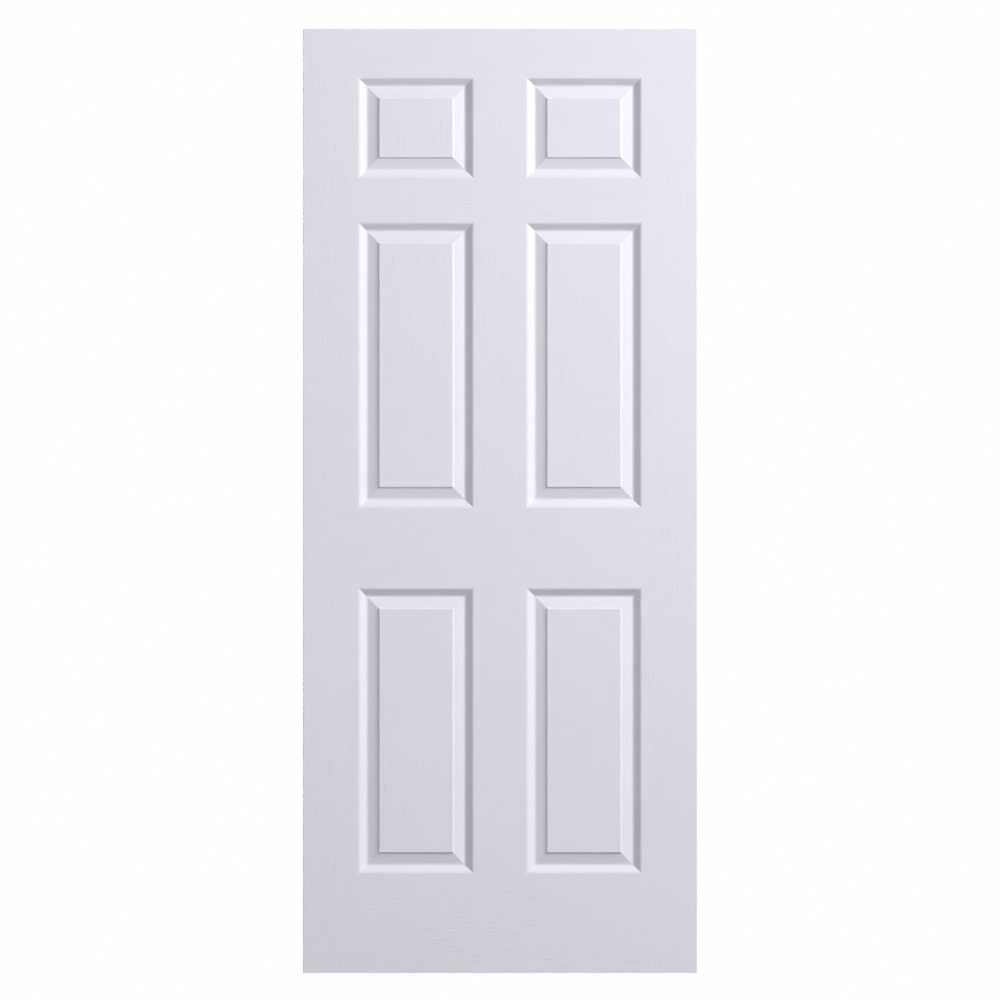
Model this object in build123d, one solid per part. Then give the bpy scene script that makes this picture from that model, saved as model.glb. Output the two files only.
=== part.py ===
from build123d import *
import os

# A hollow steel door slab with six raised panels, made to hang on hinges.
# Two pressed sheet skins are folded round timber stiles and hooked into saw kerfs in their edges.
# Timber rails close the top and bottom, a block backs the lock, and foam fills what is left.
# Millimetres. X runs across the door, the front looks along -Y, and Z is up from the bottom edge.

# Slab
door_width = 848.0
door_height = 2032.0
door_thickness = 44.5

# Flat members that the pressing leaves round the panels
stile_face = 121.0
mullion_face = 117.0
top_rail_face = 106.5
frieze_rail_face = 99.0
lock_rail_face = 176.0
bottom_rail_face = 216.5
top_panel_height = 213.0

# Moulding pressed round each panel, from the flat member inwards
sticking_width = 16.0
valley_depth = 10.5
bevel_width = 24.5
lip_width = 3.0
lip_rise = 3.0
field_depth = 1.0

# Sheet and its bends, each radius taken on the inside of the bend
sheet_thickness = 0.6
face_bend_radius = 10.4
valley_bend_radius = 9.0
lip_bend_radius = 1.5
field_bend_radius = 0.9
edge_bend_radius = 1.0
hook_bend_radius = 0.6
pressing_lead = 5.0

# Folded edge and hook along each long side
flange_depth = 12.0
hook_length = 8.0

# Timber inside
stile_depth = 38.0
kerf_clearance = 0.2
arris_clearance = 0.6
top_rail_depth = 38.0
bottom_rail_depth = 38.0
lock_height = 965.0
lock_block_height = 400.0
lock_block_margin = 8.0

# How far a cutting solid runs past the face it cuts
cut_overrun = 2.0

# Sizes that follow from those above
panel_columns = 2
tall_panel_rows = 2
panel_width = (door_width - 2 * stile_face - mullion_face) / panel_columns
rail_faces = top_rail_face + frieze_rail_face + lock_rail_face + bottom_rail_face
tall_panel_height = (door_height - rail_faces - top_panel_height) / tall_panel_rows
moulding_width = sticking_width + bevel_width + lip_width
pressing_reach = moulding_width + pressing_lead
half_width = door_width / 2
half_thickness = door_thickness / 2
core_thickness = door_thickness - 2 * sheet_thickness
half_opening = half_width - stile_depth


def panel_places():
    """Centre X, centre Z, width and height of every panel, from the bottom row up."""
    column = (mullion_face + panel_width) / 2
    rows = [
        (bottom_rail_face, tall_panel_height),
        (bottom_rail_face + tall_panel_height + lock_rail_face, tall_panel_height),
        (door_height - top_rail_face - top_panel_height, top_panel_height),
    ]
    return [
        (side * column, foot + height / 2, panel_width, height)
        for foot, height in rows
        for side in (-1, 1)
    ]


def moulding_line():
    """Show side of the moulding in section: X is depth and Y the distance in from the panel's edge."""
    points = [
        (0, -pressing_lead),
        (0, 0),
        (valley_depth, sticking_width),
        (field_depth + lip_rise, sticking_width + bevel_width),
        (field_depth, moulding_width),
        (field_depth, pressing_reach),
    ]
    radii = [
        face_bend_radius + sheet_thickness,
        valley_bend_radius,
        lip_bend_radius,
        field_bend_radius + sheet_thickness,
    ]
    return FilletPolyline(*points, radius=radii)


def folded_line():
    """Outside of a skin in plan: hook, folded edge, face, folded edge and hook."""
    hook_x = half_width - hook_length
    hook_y = flange_depth - half_thickness
    points = [
        (hook_x, hook_y),
        (half_width, hook_y),
        (half_width, -half_thickness),
        (-half_width, -half_thickness),
        (-half_width, hook_y),
        (-hook_x, hook_y),
    ]
    edge_radius = edge_bend_radius + sheet_thickness
    hook_radius = hook_bend_radius + sheet_thickness
    return FilletPolyline(*points, radius=[hook_radius, edge_radius, edge_radius, hook_radius])


def sheet_section(line):
    """The sheet seen in section, with its thickness to the right of the line."""
    return make_face(offset(line, amount=sheet_thickness, side=Side.RIGHT))


def pocket_section():
    """Section of the hollow that the moulding presses into the core, from the sheet's back outwards."""
    back = offset(moulding_line(), amount=sheet_thickness, side=Side.RIGHT, closed=False)
    lid = Polyline(
        (sheet_thickness, -pressing_lead),
        (-cut_overrun, -pressing_lead),
        (-cut_overrun, pressing_reach),
        (field_depth + sheet_thickness, pressing_reach),
    )
    return make_face(back + lid)


def mitred_side(section, length, reach):
    """One side of a panel's moulding below the panel's centre, cut at 45 degrees at both ends."""
    half = length / 2
    outer = reach + pressing_lead
    inner = reach - pressing_reach
    strip = extrude(Plane.YZ * Pos(0, -reach) * section, amount=half + pressing_lead, both=True)
    mitre = Polygon(
        (-half - pressing_lead, -outer),
        (half + pressing_lead, -outer),
        (half - pressing_reach, -inner),
        (pressing_reach - half, -inner),
        align=None,
    )
    return strip & extrude(Plane.XZ * mitre, amount=door_thickness, both=True)


def moulding_ring(section, width, height):
    """A moulding section carried round a panel, its corners mitred, with the face at Y = 0."""
    across = mitred_side(section, width, height / 2)
    upright = Rot(0, 90, 0) * mitred_side(section, height, width / 2)
    half_turn = Rot(0, 180, 0)
    return across + [upright, half_turn * across, half_turn * upright]


def panel_field(width, height, near, far):
    """The flat of a panel inside its moulding, between two depths."""
    flat = Rectangle(width - 2 * pressing_reach, height - 2 * pressing_reach)
    return extrude(Plane.XZ.offset(-near) * flat, amount=near - far)


def pressed_panel(width, height):
    """Sheet of one raised panel, with the face of the skin at Y = 0."""
    field = panel_field(width, height, field_depth, field_depth + sheet_thickness)
    return moulding_ring(sheet_section(moulding_line()), width, height) + field


def panel_pocket(width, height):
    """What one raised panel takes out of the core, with the face of the skin at Y = 0."""
    field = panel_field(width, height, -cut_overrun, field_depth + sheet_thickness)
    return moulding_ring(pocket_section(), width, height) + field


def on_every_panel(shape_of):
    """Copies of a panel's shape at every panel of the front face."""
    shapes = {}
    placed = []
    for x, z, width, height in panel_places():
        if (width, height) not in shapes:
            shapes[width, height] = shape_of(width, height)
        placed.append(Pos(x, -half_thickness, z) * shapes[width, height])
    return placed


def make_skin():
    """Front skin: a sheet folded along both long edges and pressed with the six panels."""
    folded = extrude(sheet_section(folded_line()), amount=door_height)
    windows = [
        Pos(x, -half_thickness, z)
        * Box(width + 2 * pressing_lead, 2 * cut_overrun, height + 2 * pressing_lead)
        for x, z, width, height in panel_places()
    ]
    return folded - windows + on_every_panel(pressed_panel)


def make_stile():
    """Hinge stile: rebated for the folded edges of both skins and kerfed for their hooks."""
    kerf_inner = half_thickness - flange_depth - kerf_clearance
    kerf_outer = half_thickness - flange_depth + sheet_thickness + kerf_clearance
    kerf_end = hook_length + kerf_clearance - half_width
    rebate = sheet_thickness - half_width
    points = [
        (-half_width, 0),
        (-half_width, kerf_inner),
        (kerf_end, kerf_inner),
        (kerf_end, kerf_outer),
        (rebate, kerf_outer),
        (rebate, core_thickness / 2),
        (-half_opening, core_thickness / 2),
        (-half_opening, 0),
    ]
    lip_radius = hook_bend_radius + arris_clearance
    arris_radius = edge_bend_radius + arris_clearance
    outline = FilletPolyline(*points, radius=[0, 0, 0, lip_radius, arris_radius, 0])
    half = make_face(outline + Line(points[-1], points[0]))
    return extrude(half + mirror(half, about=Plane.XZ), amount=door_height)


def make_rail(depth):
    """A rail between the stiles, standing on Z = 0."""
    return extrude(Rectangle(2 * half_opening, core_thickness), amount=depth)


def make_lock_block():
    """Block against the lock stile, kept clear of the nearest panel."""
    width = stile_face - stile_depth - lock_block_margin
    foot = Pos(half_opening - width / 2, 0, lock_height - lock_block_height / 2)
    return foot * extrude(Rectangle(width, core_thickness), amount=lock_block_height)


def make_core():
    """Foam between the stiles, rails and skins, round the lock block."""
    height = door_height - top_rail_depth - bottom_rail_depth
    block = Pos(0, 0, bottom_rail_depth) * make_rail(height)
    front = on_every_panel(panel_pocket)
    back = [mirror(pocket, about=Plane.XZ) for pocket in front]
    return block - make_lock_block() - front - back


front_skin = make_skin()
hinge_stile = make_stile()
nodes = {
    "front_skin": front_skin,
    "back_skin": mirror(front_skin, about=Plane.XZ),
    "hinge_stile": hinge_stile,
    "lock_stile": mirror(hinge_stile, about=Plane.YZ),
    "top_rail": Pos(0, 0, door_height - top_rail_depth) * make_rail(top_rail_depth),
    "bottom_rail": make_rail(bottom_rail_depth),
    "lock_block": make_lock_block(),
    "foam_core": make_core(),
}

os.makedirs("parts", exist_ok=True)
for name, shape in nodes.items():
    export_step(shape, f"parts/{name}.step")
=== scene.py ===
"""Dresses a six-panel steel door: painted pressed skins, bare timber edges, foam core and a stage."""

from math import radians

import bpy
import numpy as np
from bpy.props import FloatProperty, FloatVectorProperty, IntProperty, PointerProperty
from bpy.types import Operator, Panel, PropertyGroup
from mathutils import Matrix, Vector


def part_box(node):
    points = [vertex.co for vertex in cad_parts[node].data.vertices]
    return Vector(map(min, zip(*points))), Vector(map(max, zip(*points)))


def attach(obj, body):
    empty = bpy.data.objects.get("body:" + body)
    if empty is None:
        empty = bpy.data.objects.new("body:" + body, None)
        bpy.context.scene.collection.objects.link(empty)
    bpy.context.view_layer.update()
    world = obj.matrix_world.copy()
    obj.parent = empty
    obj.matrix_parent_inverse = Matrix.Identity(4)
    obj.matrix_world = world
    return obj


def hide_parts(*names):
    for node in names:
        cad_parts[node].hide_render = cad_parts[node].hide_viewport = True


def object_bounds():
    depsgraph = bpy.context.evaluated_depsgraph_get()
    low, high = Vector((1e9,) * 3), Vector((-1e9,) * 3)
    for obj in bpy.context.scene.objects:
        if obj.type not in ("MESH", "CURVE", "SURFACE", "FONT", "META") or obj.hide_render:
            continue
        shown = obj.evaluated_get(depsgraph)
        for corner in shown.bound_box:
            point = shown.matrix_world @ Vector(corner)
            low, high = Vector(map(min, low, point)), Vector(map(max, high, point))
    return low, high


bl_info = {
    "name": "Six-panel steel door",
    "version": (1, 0, 0),
    "blender": (4, 5, 0),
    "location": "3D View > Sidebar > Door",
    "description": "Presses and paints a steel door's skins, finishes its timber and sets a stage",
    "category": "Object",
}

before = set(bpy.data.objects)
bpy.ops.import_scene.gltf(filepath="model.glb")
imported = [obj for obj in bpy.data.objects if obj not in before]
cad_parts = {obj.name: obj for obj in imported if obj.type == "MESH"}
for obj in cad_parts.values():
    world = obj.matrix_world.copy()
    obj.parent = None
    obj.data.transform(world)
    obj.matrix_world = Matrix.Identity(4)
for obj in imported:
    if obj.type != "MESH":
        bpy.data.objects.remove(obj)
CAD_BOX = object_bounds()
SLAB_LOW, SLAB_HIGH = CAD_BOX
SKIN_LOW, SKIN_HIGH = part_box("front_skin")
BODY = "root"
GRAIN_MAP = "grain"
WHITE = (1.0, 1.0, 1.0, 1.0)

# Turns that bring the length of an upright or a level piece of timber to Z
UPRIGHT = (0.0, 0.0, 0.0)
LEVEL = (0.0, radians(90.0), 0.0)

# Centre of a piece's rings from the piece's middle, across it and through the door, after its turn
HINGE_STILE_HEART = (0.045, 0.05)
LOCK_STILE_HEART = (0.065, -0.06)
RAIL_HEART = (0.05, 0.03)
LOCK_BLOCK_HEART = (-0.057, 0.052)

# Sizes of the patterns in timber: across the piece, through the door and along the grain
BEND_SIZE = (0.17, 0.17, 0.7)
BROAD_SIZE = (0.04, 0.04, 0.4)
STREAK_SIZE = (0.004, 0.004, 0.2)
FIBRE_SIZE = (0.0009, 0.0009, 0.06)
CANAL_SIZE = (0.0007, 0.0007, 0.017)

# Levels of a pattern between which it fades in
PORE_EDGE = (0.58, 0.72)
CLOUD_EDGE = (0.3, 0.7)
CANAL_EDGE = (0.68, 0.76)

# Shares of a ring between which its late wood fades in, and out again
LATE_WOOD_START = (0.4, 0.9)
LATE_WOOD_END = (0.93, 1.0)


def length(name, description, default):
    """A size in metres that a user may change."""
    return FloatProperty(
        name=name, description=description, default=default, min=0.0, precision=4, unit="LENGTH"
    )


def share(name, description, default):
    """A number from 0 to 1 that a user may change."""
    return FloatProperty(
        name=name, description=description, default=default, min=0.0, max=1.0, subtype="FACTOR"
    )


def watts(name, description, default):
    """A light's power that a user may change."""
    return FloatProperty(name=name, description=description, default=default, min=0.0, unit="POWER")


def angle(name, description, default):
    """An angle that a user may change, with its default in degrees."""
    return FloatProperty(name=name, description=description, default=radians(default), subtype="ANGLE")


def facets(name, description, default):
    """A number of facets that a user may change."""
    return IntProperty(name=name, description=description, default=default, min=2)


def colour(name, description, default):
    """A colour that a user may change, in linear light."""
    return FloatVectorProperty(
        name=name, description=description, default=default, min=0.0, max=1.0, subtype="COLOR"
    )


def place(name, description, default):
    """A point in the door's frame that a user may change."""
    return FloatVectorProperty(
        name=name, description=description, default=default, subtype="XYZ", unit="LENGTH"
    )


class DoorSkinSizes(PropertyGroup):
    """Sizes of the pressed skins."""

    stile_face: length("Stile face", "Flat width beside the panels, at each long edge", 0.121)
    mullion_face: length("Mullion face", "Flat width between the two columns of panels", 0.117)
    top_rail_face: length("Top rail face", "Flat height above the top panels", 0.1065)
    frieze_rail_face: length("Frieze rail face", "Flat height below the top panels", 0.099)
    lock_rail_face: length("Lock rail face", "Flat height between the tall panels", 0.176)
    bottom_rail_face: length("Bottom rail face", "Flat height below the bottom panels", 0.2165)
    top_panel_height: length("Top panel height", "Height of the two small panels", 0.213)
    sticking_width: length("Sticking width", "Width of the slope from the flat down to the valley", 0.016)
    valley_depth: length("Valley depth", "Depth of the valley below the flat", 0.0105)
    bevel_width: length("Bevel width", "Width of the slope from the valley up to the lip", 0.0245)
    lip_width: length("Lip width", "Width of the steeper lip round the field", 0.003)
    lip_rise: length("Lip rise", "Height of the lip round the field", 0.003)
    field_depth: length("Field depth", "Depth of the panel's flat field below the flat", 0.001)
    sheet: length("Sheet", "Thickness of the sheet", 0.0006)
    face_bend: length("Face bend", "Inside radius where the flat turns into the sticking", 0.0104)
    valley_bend: length("Valley bend", "Inside radius along the valley", 0.009)
    lip_bend: length("Lip bend", "Inside radius where the bevel meets the lip", 0.0015)
    field_bend: length("Field bend", "Inside radius where the lip turns into the field", 0.0009)
    edge_bend: length("Edge bend", "Inside radius of the folded long edges", 0.001)
    hook_bend: length("Hook bend", "Inside radius of the hooks", 0.0006)
    hook_length: length("Hook length", "Reach of each hook into its kerf", 0.008)
    lead: length("Lead", "Flat kept on both sides of a pressing", 0.005)
    support: length("Support", "Distance of the lines that hold a bend's shading off the flats", 0.0004)
    wide_steps: facets("Wide steps", "Facets across a wide pressed bend", 7)
    small_steps: facets("Small steps", "Facets across a small bend", 5)
    fold_steps: facets("Fold steps", "Facets across a folded edge", 12)
    crease: angle("Crease", "Angle above which an edge stays sharp", 12.0)


class DoorPaintFinish(PropertyGroup):
    """Paint over the pressed wood grain."""

    paint: colour("Paint", "Colour of the paint", (0.715, 0.706, 0.768))
    shade: colour("Shade", "Colour of the paint where it thins in the pores", (0.655, 0.647, 0.708))
    roughness: share("Roughness", "Middle roughness of the satin paint", 0.55)
    spread: share("Roughness spread", "How much the roughness follows the grain", 0.12)
    gloss: share("Gloss", "Strength of the paint's mirror reflection", 0.3)
    relief: length("Relief", "Depth of the pressed wood grain", 0.00038)
    sway: length("Sway", "How far the grain wanders to and fro", 0.02)
    sway_length: length("Sway length", "Length of one wander along the grain", 0.45)
    sway_width: length("Sway width", "Width of the grain that wanders together", 0.11)
    line_length: length("Line length", "Length of the grain's lines", 0.125)
    line_width: length("Line width", "Width of the grain's broad lines", 0.0053)
    line_height: share("Line height", "Share of the relief in the lines", 0.75)
    pore_length: length("Pore length", "Length of the pores between the lines", 0.042)
    pore_width: length("Pore width", "Width of the pores between the lines", 0.0018)
    pore_depth: share("Pore depth", "Share of the relief in the pores", 0.35)
    pore_tint: share("Pore tint", "Strength of the shade in the pores", 0.35)
    cloud: length("Cloud", "Size of the faint clouds in the paint", 0.15)
    cloud_tint: share("Cloud tint", "Strength of the shade in the clouds", 0.12)


class DoorTimberFinish(PropertyGroup):
    """Bare softwood of the stiles, rails and block."""

    early: colour("Early wood", "Colour of the soft wood between the rings", (0.60, 0.41, 0.23))
    late: colour("Late wood", "Colour of the dense wood of the rings", (0.36, 0.195, 0.085))
    ring: length("Ring spacing", "Distance from one ring to the next", 0.0028)
    bend: length("Ring bend", "How far the rings bend from true circles", 0.025)
    ring_tint: share("Ring tint", "Strength of the late wood's colour in the rings", 0.62)
    canal_tint: share("Canal tint", "Strength of the late wood's colour in the resin canals", 0.45)
    fibre_tint: share("Fibre tint", "Strength of the late wood's colour in the fibres", 0.28)
    streak_tint: share("Streak tint", "Strength of the late wood's colour in long streaks", 0.2)
    broad_tint: share("Broad tint", "Strength of the late wood's colour in broad patches", 0.5)
    roughness: share("Roughness", "Middle roughness of the planed wood", 0.72)
    spread: share("Roughness spread", "How much the roughness follows the fibres", 0.2)
    gloss: share("Gloss", "Strength of the wood's mirror reflection", 0.08)
    relief: length("Relief", "Depth of the planed surface's fibres", 0.00012)
    fibre_height: share("Fibre height", "Share of the relief in the fibres", 0.7)
    ring_height: share("Ring height", "Share of the relief in the rings", 0.3)
    canal_depth: share("Canal depth", "Share of the relief in the resin canals", 0.4)


class DoorFoamFinish(PropertyGroup):
    """Rigid foam of the core."""

    foam: colour("Foam", "Colour of the foam", (0.80, 0.66, 0.36))
    dark: colour("Dark foam", "Colour of the foam between its cells", (0.576, 0.475, 0.259))
    cell: length("Cell", "Size of the foam's cells", 0.0015)
    cell_tint: share("Cell tint", "Strength of the dark colour between the cells", 0.5)
    bloom: length("Bloom", "Size of the faint blooms of colour", 0.11)
    bloom_tint: share("Bloom tint", "Strength of the dark colour in the blooms", 0.4)
    roughness: share("Roughness", "Middle roughness of the foam", 0.9)
    spread: share("Roughness spread", "How much the roughness follows the blooms", 0.1)
    relief: length("Relief", "Depth of the cut cells", 0.0006)


class DoorStudioSizes(PropertyGroup):
    """Camera, lights and floor."""

    view_width: length("View width", "Width of the frame at the door", 2.1525)
    view_centre: place("View centre", "Point in the middle of the frame", (0.0, 0.0, 1.0182))
    view_distance: length("View distance", "Distance from the camera to the door", 6.0)
    key_place: place("Key place", "Centre of the front's key light, up on the right", (5.14, -2.97, 4.73))
    back_place: place("Back place", "Centre of the back's key light, lower down", (-5.4, 3.1, 3.2))
    key_size: length("Key size", "Side of a key light", 1.2)
    key_power: watts("Key power", "Power of a key light", 486.0)
    fill_place: place("Fill place", "Centre of the front's fill light, straight ahead", (0.0, -5.98, 1.54))
    fill_size: length("Fill size", "Side of a fill light", 2.2)
    fill_power: watts("Fill power", "Power of a fill light", 188.0)
    ambient: share("Ambient", "Strength of the plain light from all round", 0.006)
    underside: share("Underside", "Strength of the plain light below the floor", 0.8)
    horizon: share("Horizon", "How far below level the light from all round fades out", 0.1)
    floor_side: length("Floor side", "Side of the square floor", 80.0)
    floor_seen: share("Floor seen", "Lightness of the floor as the camera sees it", 0.9)
    floor_bounce: share("Floor bounce", "Lightness of the floor as it lights the door", 0.05)
    floor_white: share("Floor white", "Share of plain white in the floor near the door", 0.45)
    fade_start: length("Fade start", "Distance from the door where the floor starts to fade to white", 1.2)
    fade_end: length("Fade end", "Distance from the door where the floor is plain white", 4.0)


class Field:
    """A value or colour that changes over a surface. Sums and products of values add Math nodes."""

    def __init__(self, recipe, socket):
        self.recipe = recipe
        self.socket = socket

    def maths(self, operation, *values):
        """A Math node on these values."""
        return self.recipe.add("ShaderNodeMath", {"operation": operation}, dict(enumerate(values)))

    def __add__(self, other):
        return self.maths("ADD", self, other)

    def __radd__(self, other):
        return self.maths("ADD", other, self)

    def __sub__(self, other):
        return self.maths("SUBTRACT", self, other)

    def __rsub__(self, other):
        return self.maths("SUBTRACT", other, self)

    def __mul__(self, other):
        return self.maths("MULTIPLY", self, other)

    def __rmul__(self, other):
        return self.maths("MULTIPLY", other, self)

    def __truediv__(self, other):
        return self.maths("DIVIDE", self, other)

    def __rtruediv__(self, other):
        return self.maths("DIVIDE", other, self)

    def fraction(self):
        """What is left of the value above its whole number."""
        return self.maths("FRACT", self)

    def centred(self):
        """The value less one half, so that a pattern from 0 to 1 lies about 0."""
        return self - 0.5

    def rise(self, low, high):
        """0 below low, 1 above high and smooth between."""
        sockets = {"Value": self, "From Min": low, "From Max": high}
        return self.recipe.add("ShaderNodeMapRange", {"interpolation_type": "SMOOTHSTEP"}, sockets)


class Recipe:
    """The nodes of one material or world."""

    def __init__(self, owner):
        owner.use_nodes = True
        self.tree = owner.node_tree
        self.tree.nodes.clear()

    def add(self, kind, settings=None, sockets=None, out=0):
        """One output of a new node, given its settings first and then its sockets' values or links."""
        node = self.tree.nodes.new(kind)
        for name, value in (settings or {}).items():
            setattr(node, name, value)
        for name, value in (sockets or {}).items():
            if isinstance(value, Field):
                self.tree.links.new(value.socket, node.inputs[name])
            else:
                node.inputs[name].default_value = value
        return Field(self, node.outputs[out] if node.outputs else None)

    def beside(self, field, names):
        """The outputs with these names on the node that a field comes from."""
        outputs = field.socket.node.outputs
        return [Field(self, outputs[name]) for name in names]

    def point(self, *values):
        """A vector from two or three values."""
        return self.add("ShaderNodeCombineXYZ", sockets=dict(zip("XYZ", values)))

    def parts(self, vector):
        """The three values of a vector."""
        return self.beside(self.add("ShaderNodeSeparateXYZ", sockets={"Vector": vector}), "XYZ")

    def magnitude(self, vector):
        """How long a vector is."""
        return self.add("ShaderNodeVectorMath", {"operation": "LENGTH"}, {0: vector}, out="Value")

    def noise(self, values, sizes, detail, roughness=0.5):
        """Smooth noise about 0.5, with blobs of these sizes along these values."""
        vector = self.point(*(value / size for value, size in zip(values, sizes)))
        sockets = {"Vector": vector, "Scale": 1.0, "Detail": detail, "Roughness": roughness}
        return self.add("ShaderNodeTexNoise", {"noise_dimensions": "3D"}, sockets)

    def blend(self, factor, first, second):
        """First colour at factor 0 and second at 1."""
        sockets = {0: factor, 6: opaque(first), 7: opaque(second)}
        return self.add("ShaderNodeMix", {"data_type": "RGBA"}, sockets, out=2)

    def mix(self, factor, first, second):
        """First shader at factor 0 and second at 1."""
        return self.add("ShaderNodeMixShader", sockets={0: factor, 1: first, 2: second})

    def relief(self, height, depth):
        """A normal from a height of 0 to 1 that stands for this depth in metres."""
        return self.add("ShaderNodeBump", sockets={"Strength": 1.0, "Distance": depth, "Height": height})

    def surface(self, **sockets):
        """The finished surface: a Principled shader on the material's output."""
        names = {name.replace("_", " "): value for name, value in sockets.items()}
        shader = self.add("ShaderNodeBsdfPrincipled", sockets=names)
        self.add("ShaderNodeOutputMaterial", sockets={"Surface": shader})


def opaque(rgb):
    """A colour with its alpha."""
    return (*rgb, 1.0)


def painted_grain(finish):
    """Satin paint over pressed wood grain: long lines that wander, with short pores among them."""
    material = bpy.data.materials.new("painted_grain")
    make = Recipe(material)
    along, across, _ = make.parts(make.add("ShaderNodeUVMap", {"uv_map": GRAIN_MAP}))
    wander = make.noise((along, across), (finish.sway_length, finish.sway_width), detail=1.0).centred()
    swayed = (along, across + wander * finish.sway)
    lines = make.noise(swayed, (finish.line_length, finish.line_width), detail=4.0, roughness=0.6)
    pores = make.noise(swayed, (finish.pore_length, finish.pore_width), detail=2.0).rise(*PORE_EDGE)
    clouds = make.noise((along, across), (finish.cloud, finish.cloud), detail=2.0).rise(*CLOUD_EDGE)
    thin = pores * finish.pore_tint + clouds * finish.cloud_tint
    make.surface(
        Base_Color=make.blend(thin, finish.paint, finish.shade),
        Roughness=lines.centred() * finish.spread + finish.roughness,
        Specular_IOR_Level=finish.gloss,
        Normal=make.relief(lines * finish.line_height - pores * finish.pore_depth, finish.relief),
    )
    return material


def bare_timber(node, finish, turn, heart):
    """Planed softwood: rings about a heart line along the piece, with fibres, streaks and resin canals.

    The turn brings the piece's length to Z, and the heart is counted from its middle after that turn.
    """
    material = bpy.data.materials.new(f"{node}_timber")
    make = Recipe(material)
    middle = sum(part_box(node), Vector()) / 2
    coordinates = make.add("ShaderNodeTexCoord", out="Object")
    sockets = {"Vector": coordinates, "Location": middle, "Rotation": turn}
    spot = make.parts(make.add("ShaderNodeMapping", {"vector_type": "TEXTURE"}, sockets))
    bend = make.noise(spot, BEND_SIZE, detail=2.0).centred() * finish.bend
    radius = make.magnitude(make.point(spot[0] - heart[0] + bend, spot[1] - heart[1] + bend))
    ring = (radius / finish.ring).fraction()
    late = ring.rise(*LATE_WOOD_START) - ring.rise(*LATE_WOOD_END)
    fibre = make.noise(spot, FIBRE_SIZE, detail=3.0, roughness=0.65)
    streak = make.noise(spot, STREAK_SIZE, detail=2.0).rise(*CLOUD_EDGE)
    canal = make.noise(spot, CANAL_SIZE, detail=1.0).rise(*CANAL_EDGE)
    broad = make.noise(spot, BROAD_SIZE, detail=2.0)
    tint = fibre.rise(*CLOUD_EDGE).centred() * finish.fibre_tint
    tint += streak.centred() * finish.streak_tint
    tint += broad.centred() * finish.broad_tint
    tint += late * finish.ring_tint + canal * finish.canal_tint
    height = fibre * finish.fibre_height + late * finish.ring_height - canal * finish.canal_depth
    make.surface(
        Base_Color=make.blend(tint, finish.early, finish.late),
        Roughness=fibre.centred() * finish.spread + finish.roughness,
        Specular_IOR_Level=finish.gloss,
        Normal=make.relief(height, finish.relief),
    )
    return material


def rigid_foam(finish):
    """Closed-cell foam: small cells, darker between them, with faint blooms of colour."""
    material = bpy.data.materials.new("rigid_foam")
    make = Recipe(material)
    coordinates = make.add("ShaderNodeTexCoord", out="Object")
    sockets = {"Vector": coordinates, "Scale": 1.0 / finish.cell}
    cells = make.add("ShaderNodeTexVoronoi", {"feature": "F1"}, sockets)
    bloom = make.noise(make.parts(coordinates), [finish.bloom] * 3, detail=3.0)
    tint = cells * finish.cell_tint + bloom * finish.bloom_tint
    make.surface(
        Base_Color=make.blend(tint, finish.foam, finish.dark),
        Roughness=bloom.centred() * finish.spread + finish.roughness,
        Normal=make.relief(cells, finish.relief),
    )
    return material


def rounded_line(points, radii, steps, support):
    """A line through points with an arc at each corner between the ends, and unit normals on its left.

    An arc starts its radius times the tangent of half the turn before the corner. With n the left normal
    of the run before it, turned by each angle up to the whole turn, the arc's points are the start plus
    the turn's sign times the radius times what n has lost by turning. A support point lies just before
    and just after each arc.
    """
    points = np.asarray(points, float)
    runs = np.diff(points, axis=0)
    runs /= np.linalg.norm(runs, axis=1, keepdims=True)
    normals = runs[:, ::-1] * (-1.0, 1.0)
    line, sides = [points[:1]], [normals[:1]]
    for corner, (radius, count) in enumerate(zip(radii, steps)):
        before, after = runs[corner], runs[corner + 1]
        turn = np.arctan2(before[0] * after[1] - before[1] * after[0], before @ after)
        start = points[corner + 1] - before * radius * np.tan(abs(turn) / 2)
        angles = np.linspace(0.0, turn, count + 1)[:, None]
        swung = normals[corner] * np.cos(angles) - before * np.sin(angles)
        arc = start + np.sign(turn) * radius * (normals[corner] - swung)
        line += [arc[:1] - before * support, arc, arc[-1:] + after * support]
        sides += [swung[:1], swung, swung[-1:]]
    return np.concatenate([*line, points[-1:]]), np.concatenate([*sides, normals[-1:]])


def moulding_profile(sizes):
    """Rounded section of the moulding: distance in from a panel's edge and depth, with normals inwards."""
    moulding = sizes.sticking_width + sizes.bevel_width + sizes.lip_width
    points = [
        (-sizes.lead, 0.0),
        (0.0, 0.0),
        (sizes.sticking_width, sizes.valley_depth),
        (sizes.sticking_width + sizes.bevel_width, sizes.field_depth + sizes.lip_rise),
        (moulding, sizes.field_depth),
        (moulding + sizes.lead, sizes.field_depth),
    ]
    face, field = sizes.face_bend + sizes.sheet, sizes.field_bend + sizes.sheet
    radii = [face, sizes.valley_bend, sizes.lip_bend, field]
    steps = [sizes.wide_steps, sizes.wide_steps, sizes.small_steps, sizes.small_steps]
    return rounded_line(points, radii, steps, sizes.support)


def folded_profile(sizes):
    """Plan of a front skin from hook to hook round its outside, with normals inwards."""
    left, right = SKIN_LOW.x, SKIN_HIGH.x
    face, hook = SKIN_LOW.y, SKIN_HIGH.y
    points = [
        (left + sizes.hook_length, hook),
        (left, hook),
        (left, face),
        (right, face),
        (right, hook),
        (right - sizes.hook_length, hook),
    ]
    edge, tip = sizes.edge_bend + sizes.sheet, sizes.hook_bend + sizes.sheet
    steps = [sizes.small_steps, sizes.fold_steps, sizes.fold_steps, sizes.small_steps]
    return rounded_line(points, [tip, edge, edge, tip], steps, sizes.support)


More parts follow.
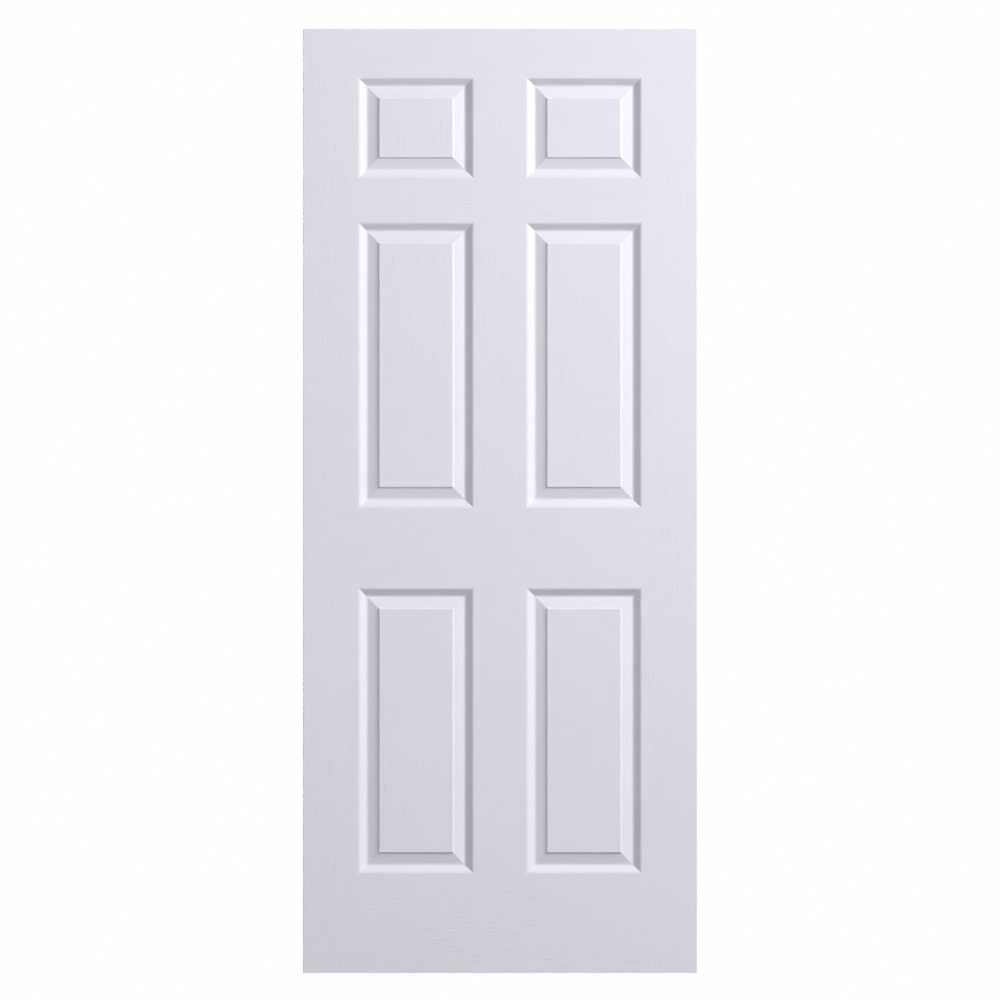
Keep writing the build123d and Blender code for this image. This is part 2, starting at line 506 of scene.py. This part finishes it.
def panel_spans(sizes):
    """Edges of the panel columns across the door and of the panel rows up it."""
    width = (SLAB_HIGH.x - SLAB_LOW.x - 2 * sizes.stile_face - sizes.mullion_face) / 2
    columns = [
        (SLAB_LOW.x + sizes.stile_face, SLAB_LOW.x + sizes.stile_face + width),
        (SLAB_HIGH.x - sizes.stile_face - width, SLAB_HIGH.x - sizes.stile_face),
    ]
    rails = sizes.top_rail_face + sizes.frieze_rail_face + sizes.lock_rail_face + sizes.bottom_rail_face
    tall = (SLAB_HIGH.z - SLAB_LOW.z - rails - sizes.top_panel_height) / 2
    low = SLAB_LOW.z + sizes.bottom_rail_face
    middle = low + tall + sizes.lock_rail_face
    top = SLAB_HIGH.z - sizes.top_rail_face
    rows = [(low, low + tall), (middle, middle + tall), (top - sizes.top_panel_height, top)]
    return columns, rows


def panel_lines(spans, inward):
    """Places of the moulding's lines on both sides of each span, and their rings from the edge in."""
    rings = np.arange(len(inward))
    lines = [np.concatenate([low + inward, high - inward[::-1]]) for low, high in spans]
    return np.concatenate(lines), np.tile(np.concatenate([rings, rings[::-1]]), len(spans))


def skin_sides(sizes):
    """Show side and back of the front skin as two grids of points, with each line's ring across and up.

    A point's depth is that of the moulding at the smaller of its rings across and up, so the rings meet
    in mitres. The back lies one sheet thickness along the normals. The folds follow the plan, at ring 0.
    """
    profile, profile_normals = moulding_profile(sizes)
    plan, plan_normals = folded_profile(sizes)
    columns, rows = panel_spans(sizes)
    half = len(plan) // 2
    grids = []
    for thickness in (0.0, sizes.sheet):
        inward, depth = (profile + thickness * profile_normals).T
        fold_x, fold_y = (plan + thickness * plan_normals).T
        lines_x, rings_x = panel_lines(columns, inward)
        lines_z, rings_z = panel_lines(rows, inward)
        face_y = np.full(len(lines_x), SKIN_LOW.y + depth[0])
        x = np.concatenate([fold_x[:half], lines_x, fold_x[half:]])
        y = np.concatenate([fold_y[:half], face_y, fold_y[half:]])
        z = np.concatenate([[SLAB_LOW.z], lines_z, [SLAB_HIGH.z]])
        across = np.concatenate([np.zeros(half, int), rings_x, np.zeros(half, int)])
        up = np.concatenate([[0], rings_z, [0]])
        pressed = depth[np.minimum(across[:, None], up[None, :])] - depth[0]
        grid = np.broadcast_arrays(x[:, None], y[:, None] + pressed, z[None, :])
        grids.append(np.stack(grid, axis=-1))
    return grids, across, up


def grid_triangles(index, leaning):
    """Two triangles for each cell of a grid of indices, cut along the other diagonal where it leans."""
    a, b, c, d = index[:-1, :-1], index[1:, :-1], index[1:, 1:], index[:-1, 1:]
    plain = np.stack([a, b, c, a, c, d], axis=-1)
    other = np.stack([a, b, d, b, c, d], axis=-1)
    return np.where(leaning[..., None], other, plain).reshape(-1, 3)


def strip_triangles(first, second):
    """Triangles between two rows of indices of the same length."""
    return grid_triangles(np.stack([first, second], axis=1), np.zeros((len(first) - 1, 1), bool))


def sheet_triangles(across, up):
    """Triangles of a closed sheet: its show side, its back, and the four cut edges between them.

    A cell leans where one ring number rises and the other falls, so that its diagonal follows the mitre.
    """
    show = np.arange(len(across) * len(up)).reshape(len(across), len(up))
    back = show + show.size
    leaning = np.diff(across)[:, None] * np.diff(up)[None, :] < 0
    edges = [
        strip_triangles(back[:, 0], show[:, 0]),
        strip_triangles(show[:, -1], back[:, -1]),
        strip_triangles(show[0], back[0]),
        strip_triangles(back[-1], show[-1]),
    ]
    faces = [grid_triangles(show, leaning), grid_triangles(back, leaning)[:, ::-1]]
    return np.concatenate([*faces, *edges])


def grain_map(points, triangles, across, up, sizes):
    """Grain coordinates at each triangle's corners: first along the grain and then across it, in metres.

    Grain runs up the stiles, mullions and panels, and across the rails and the mouldings above and below
    a panel. Places across the door are measured along the show side, so they run on round the folds.
    """
    shape = (2, len(across), len(up))
    show = points.reshape(*shape, 3)[0]
    steps = np.linalg.norm(np.diff(show[:, 0, :2], axis=0), axis=1)
    girth = np.concatenate([[0.0], np.cumsum(steps)])
    girth = np.broadcast_to((girth - girth[-1] / 2)[None, :, None], shape).reshape(-1)
    height = points[:, 2]
    inside = np.abs(girth[triangles]).max(axis=1) < SLAB_HIGH.x - sizes.stile_face + sizes.lead / 2
    ring_across = np.broadcast_to(across[None, :, None], shape).reshape(-1)[triangles]
    ring_up = np.broadcast_to(up[None, None, :], shape).reshape(-1)[triangles]
    above_or_below = ring_up.max(axis=1) <= ring_across.max(axis=1)
    off_field = ring_up.min(axis=1) < across.max()
    level = inside & above_or_below & off_field
    upright = np.stack([height[triangles], girth[triangles]], axis=-1)
    return np.where(level[:, None, None], upright[..., ::-1], upright)


def make_mesh(name, points, triangles, grain, crease):
    """A smooth mesh with grain coordinates from whole arrays, and edges sharper than the crease kept."""
    mesh = bpy.data.meshes.new(name)
    mesh.vertices.add(len(points))
    mesh.vertices.foreach_set("co", points.ravel())
    mesh.loops.add(triangles.size)
    mesh.loops.foreach_set("vertex_index", triangles.ravel())
    mesh.polygons.add(len(triangles))
    mesh.polygons.foreach_set("loop_start", np.arange(0, triangles.size, 3))
    mesh.update(calc_edges=True)
    mesh.polygons.foreach_set("use_smooth", np.ones(len(triangles), bool))
    mesh.set_sharp_from_angle(angle=crease)
    mesh.uv_layers.new(name=GRAIN_MAP).data.foreach_set("uv", grain.ravel())
    return mesh


def add_piece(name, mesh, node, material):
    """A finished piece at the origin that stands for a node."""
    piece = bpy.data.objects.new(name, mesh)
    bpy.context.scene.collection.objects.link(piece)
    piece.data.materials.append(material)
    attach(piece, BODY)
    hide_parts(node)


def dress(node, material):
    """Puts a better material in a node's own slots."""
    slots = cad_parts[node].material_slots
    if not slots:
        raise RuntimeError(f"{node} has no material slot")
    for slot in slots:
        slot.material = material


class DOOR_OT_press_skins(Operator):
    """Press, fold and paint the front and back skins"""

    bl_idname = "door.press_skins"
    bl_label = "Press skins"

    def execute(self, context):
        sizes = context.scene.door_skin
        (show, back), across, up = skin_sides(sizes)
        points = np.concatenate([show.reshape(-1, 3), back.reshape(-1, 3)])
        triangles = sheet_triangles(across, up)
        grain = grain_map(points, triangles, across, up, sizes)
        material = painted_grain(context.scene.door_paint)
        front = make_mesh("front_sheet", points, triangles, grain, sizes.crease)
        add_piece("front_sheet", front, "front_skin", material)
        # The back is the front turned over in Y, with the grain of the next length of sheet
        turned, moved = triangles[:, ::-1], grain[:, ::-1] + SLAB_HIGH.z
        rear = make_mesh("back_sheet", points * (1, -1, 1), turned, moved, sizes.crease)
        add_piece("back_sheet", rear, "back_skin", material)
        return {"FINISHED"}


class DOOR_OT_finish_stiles(Operator):
    """Give the two stiles bare timber with the grain running up them"""

    bl_idname = "door.finish_stiles"
    bl_label = "Finish stiles"

    def execute(self, context):
        finish = context.scene.door_timber
        for node, heart in (("hinge_stile", HINGE_STILE_HEART), ("lock_stile", LOCK_STILE_HEART)):
            dress(node, bare_timber(node, finish, UPRIGHT, heart))
        return {"FINISHED"}


class DOOR_OT_finish_rails(Operator):
    """Give the two rails bare timber with the grain running across the door"""

    bl_idname = "door.finish_rails"
    bl_label = "Finish rails"

    def execute(self, context):
        finish = context.scene.door_timber
        for node in ("top_rail", "bottom_rail"):
            dress(node, bare_timber(node, finish, LEVEL, RAIL_HEART))
        return {"FINISHED"}


class DOOR_OT_finish_core(Operator):
    """Give the lock block timber and the core foam"""

    bl_idname = "door.finish_core"
    bl_label = "Finish core"

    def execute(self, context):
        scene = context.scene
        dress("lock_block", bare_timber("lock_block", scene.door_timber, UPRIGHT, LOCK_BLOCK_HEART))
        dress("foam_core", rigid_foam(scene.door_foam))
        return {"FINISHED"}


def seen_directly(make):
    """1 for a ray from the camera, off a gloss or through glass, and 0 for the rest."""
    path = make.add("ShaderNodeLightPath")
    rays = ("Is Camera Ray", "Is Glossy Ray", "Is Transmission Ray")
    camera, glossy, through = make.beside(path, rays)
    return camera + glossy + through


def white_world(studio):
    """A plain white background that lights the door faintly all round, and its underside from below."""
    world = bpy.data.worlds.new("studio")
    make = Recipe(world)
    around, under, white = (
        make.add("ShaderNodeBackground", sockets={"Color": WHITE, "Strength": strength})
        for strength in (studio.ambient, studio.underside, 1.0)
    )
    _, _, upward = make.parts(make.add("ShaderNodeTexCoord", out="Generated"))
    light = make.mix(upward.rise(-studio.horizon, 0.0), under, around)
    make.add("ShaderNodeOutputWorld", sockets={"Surface": make.mix(seen_directly(make), light, white)})
    return world


def pale_floor_finish(studio):
    """A matt floor that keeps the shadow, fades to white round the door and is clear from below."""
    material = bpy.data.materials.new("pale_floor")
    make = Recipe(material)
    seen = seen_directly(make)
    bounce, pale = (
        make.add("ShaderNodeBsdfDiffuse", sockets={"Color": opaque([lightness] * 3)})
        for lightness in (studio.floor_bounce, studio.floor_seen)
    )
    white = make.add("ShaderNodeEmission", sockets={"Color": WHITE, "Strength": 1.0})
    distance = make.magnitude(make.add("ShaderNodeTexCoord", out="Object"))
    fade = distance.rise(studio.fade_start, studio.fade_end)
    whiteness = fade * (1.0 - studio.floor_white) + studio.floor_white
    top = make.mix(seen, bounce, make.mix(whiteness, pale, white))
    clear = make.add("ShaderNodeBsdfTransparent")
    below = make.add("ShaderNodeNewGeometry", out="Backfacing")
    make.add("ShaderNodeOutputMaterial", sockets={"Surface": make.mix(below, top, clear)})
    return material


def floor_mesh(studio):
    """A square floor that is open under the slab, so that light from below reaches the underside.

    Both outlines have corners at their half sides times the signs (-, -), (+, -), (+, +) and (-, +), and
    each of the four faces joins one side of the square to the same side of the opening.
    """
    signs = np.array([(-1, -1), (1, -1), (1, 1), (-1, 1)])
    corners = np.concatenate([signs * studio.floor_side / 2, signs * (SLAB_HIGH.x, SLAB_HIGH.y)])
    count = len(signs)
    sides = [(k, (k + 1) % count, count + (k + 1) % count, count + k) for k in range(count)]
    mesh = bpy.data.meshes.new("floor")
    mesh.from_pydata(np.column_stack([corners, np.full(len(corners), SLAB_LOW.z)]), [], sides)
    return mesh


def add_light(name, spot, size, power):
    """A square soft light at a spot, turned to the middle of the door."""
    middle = (SLAB_LOW + SLAB_HIGH) / 2
    lamp = bpy.data.lights.new(name, "AREA")
    lamp.shape = "SQUARE"
    lamp.size = size
    lamp.energy = power
    light = bpy.data.objects.new(name, lamp)
    light.location = spot
    light.rotation_euler = (middle - light.location).to_track_quat("-Z", "Y").to_euler()
    bpy.context.scene.collection.objects.link(light)


class DOOR_OT_set_stage(Operator):
    """Set the floor, the lights, the world and the camera"""

    bl_idname = "door.set_stage"
    bl_label = "Set stage"

    def execute(self, context):
        scene = context.scene
        studio = scene.door_studio
        floor = bpy.data.objects.new("floor", floor_mesh(studio))
        floor.data.materials.append(pale_floor_finish(studio))
        scene.collection.objects.link(floor)
        behind = studio.fill_place * Vector((-1.0, -1.0, 1.0))
        add_light("front_key", studio.key_place, studio.key_size, studio.key_power)
        add_light("back_key", studio.back_place, studio.key_size, studio.key_power)
        add_light("front_fill", studio.fill_place, studio.fill_size, studio.fill_power)
        add_light("back_fill", behind, studio.fill_size, studio.fill_power)
        scene.world = white_world(studio)
        lens = bpy.data.cameras.new("front_camera")
        lens.type = "ORTHO"
        lens.ortho_scale = studio.view_width
        camera = bpy.data.objects.new("front_camera", lens)
        camera.location = studio.view_centre - Vector((0.0, studio.view_distance, 0.0))
        camera.rotation_euler = (radians(90.0), 0.0, 0.0)
        scene.collection.objects.link(camera)
        scene.camera = camera
        scene.view_settings.view_transform = "Standard"
        return {"FINISHED"}


class DOOR_PT_sidebar(Panel):
    """Lists the door's pieces and their sizes"""

    bl_idname = "DOOR_PT_sidebar"
    bl_label = "Six-panel door"
    bl_space_type = "VIEW_3D"
    bl_region_type = "UI"
    bl_category = "Door"

    def draw(self, context):
        layout = self.layout
        for operator in OPERATORS:
            layout.operator(operator.bl_idname)
        for name, group in GROUPS.items():
            box = layout.box()
            box.label(text=group.__doc__)
            for field in group.__annotations__:
                box.prop(getattr(context.scene, name), field)


GROUPS = {
    "door_skin": DoorSkinSizes,
    "door_paint": DoorPaintFinish,
    "door_timber": DoorTimberFinish,
    "door_foam": DoorFoamFinish,
    "door_studio": DoorStudioSizes,
}
OPERATORS = (
    DOOR_OT_press_skins,
    DOOR_OT_finish_stiles,
    DOOR_OT_finish_rails,
    DOOR_OT_finish_core,
    DOOR_OT_set_stage,
)
CLASSES = (*GROUPS.values(), *OPERATORS, DOOR_PT_sidebar)


def register():
    """Adds the classes and the door's settings to the scene."""
    for item in CLASSES:
        bpy.utils.register_class(item)
    for name, group in GROUPS.items():
        setattr(bpy.types.Scene, name, PointerProperty(type=group))


def unregister():
    """Takes the settings and the classes away again."""
    for name in GROUPS:
        delattr(bpy.types.Scene, name)
    for item in reversed(CLASSES):
        bpy.utils.unregister_class(item)


def main():
    """Makes every piece and the stage."""
    register()
    bpy.ops.door.press_skins()
    bpy.ops.door.finish_stiles()
    bpy.ops.door.finish_rails()
    bpy.ops.door.finish_core()
    bpy.ops.door.set_stage()


if __name__ == "__main__":
    main()
